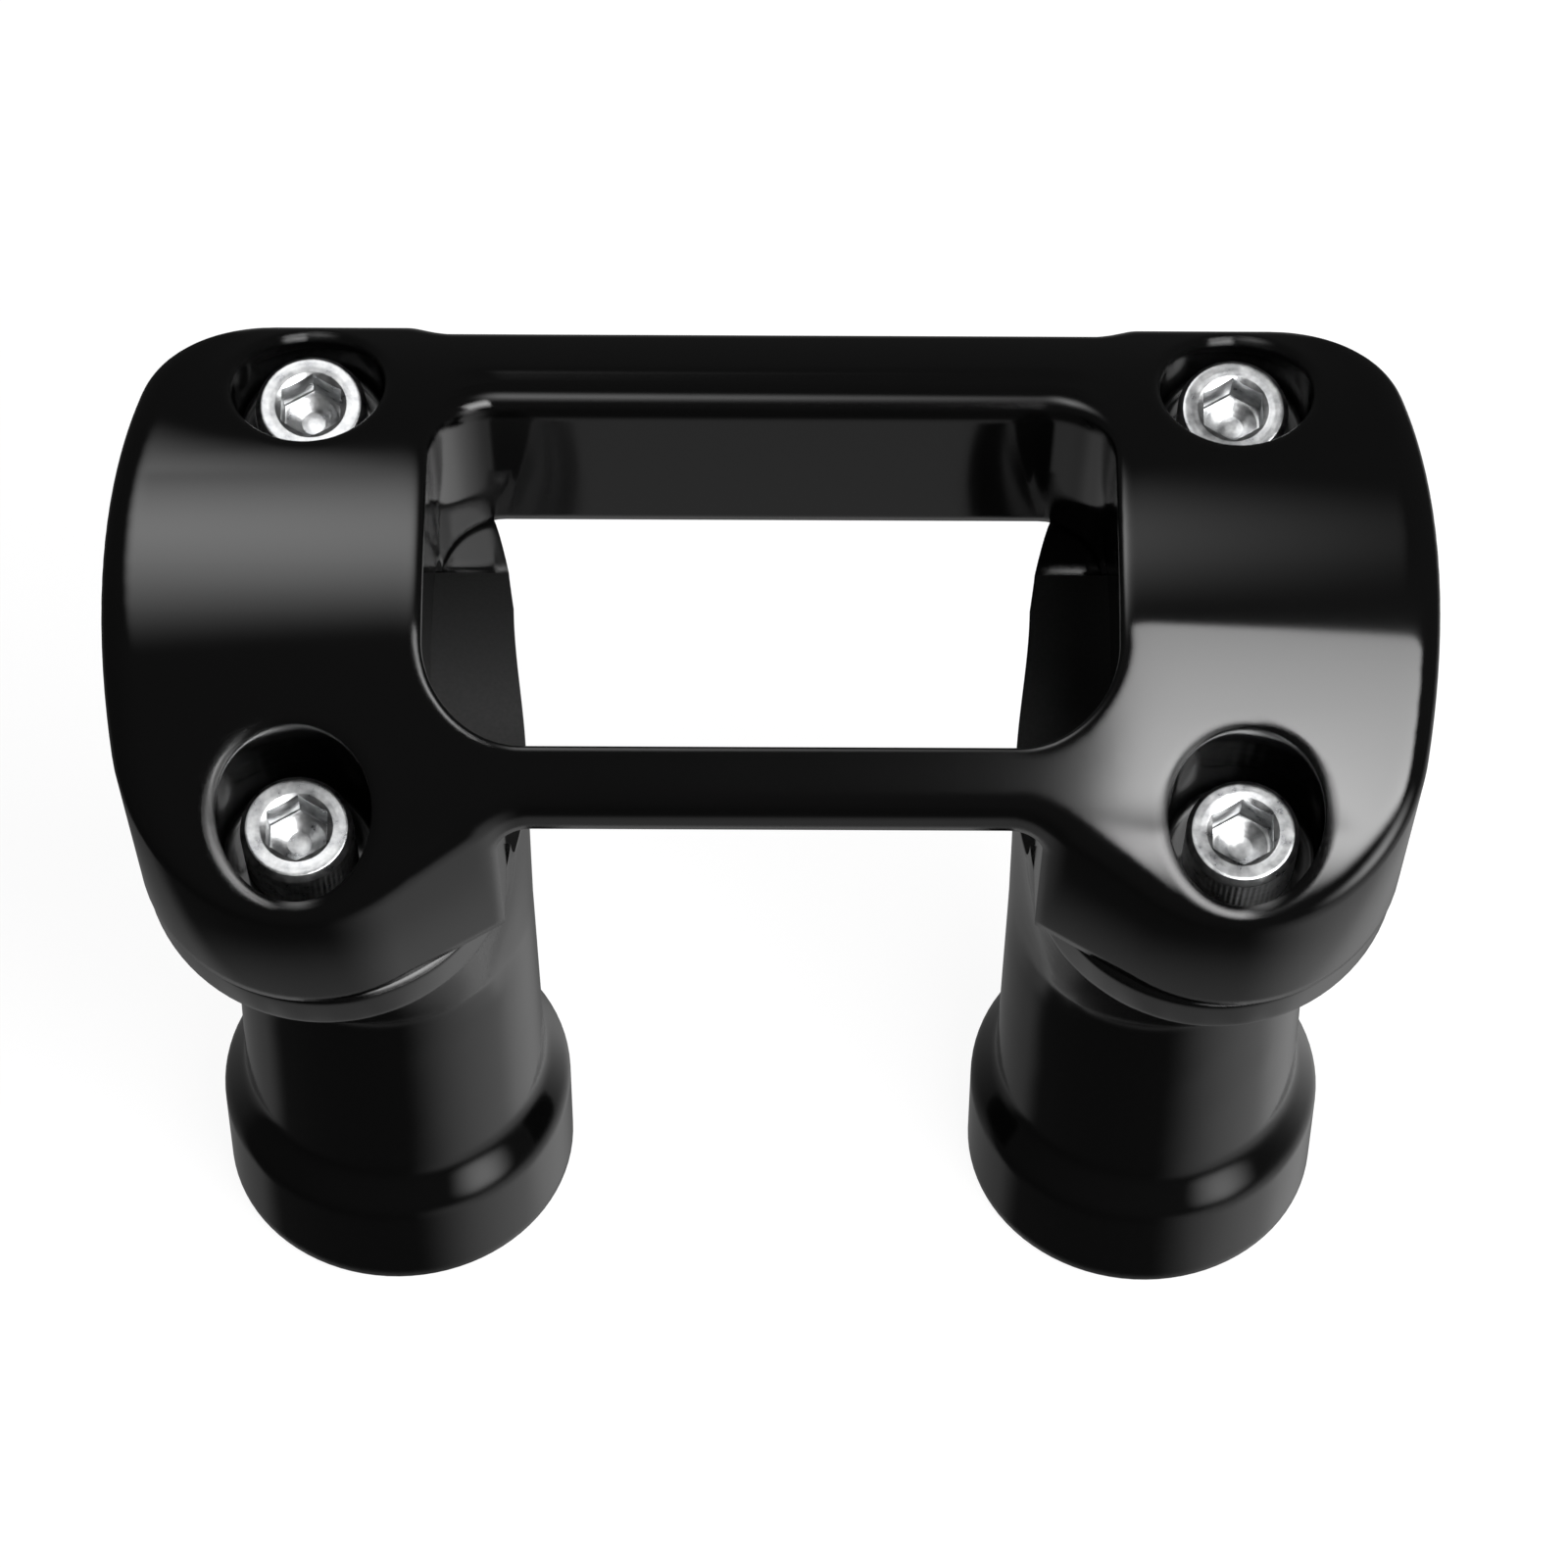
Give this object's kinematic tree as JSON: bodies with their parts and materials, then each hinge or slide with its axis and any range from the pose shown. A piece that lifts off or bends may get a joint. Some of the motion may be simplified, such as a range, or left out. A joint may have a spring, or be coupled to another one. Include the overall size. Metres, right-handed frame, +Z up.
{
  "type": "motorcycle bar riser",
  "caption": "Pair of angled handlebar risers under a one-piece gloss black clamp with an instrument window, held by socket cap screws.",
  "frame": {"origin": "midway between the two tapped holes, on the plane the feet stand on", "axes": "+X along the handlebar to the rider's right, +Y away from the rider, +Z up out of the yoke"},
  "size_m": [0.1394, 0.0737, 0.1289],
  "materials": {
    "gloss_black_aluminium": "gloss black coated casting",
    "zinc_plated_steel": "bright zinc plated"
  },
  "bodies": {
    "root": {"top_clamp": "gloss_black_aluminium", "left_riser": "gloss_black_aluminium", "right_riser": "gloss_black_aluminium", "front_left_cap_screw": "zinc_plated_steel", "rear_left_cap_screw": "zinc_plated_steel", "front_right_cap_screw": "zinc_plated_steel", "rear_right_cap_screw": "zinc_plated_steel"}
  },
  "joints": []
}
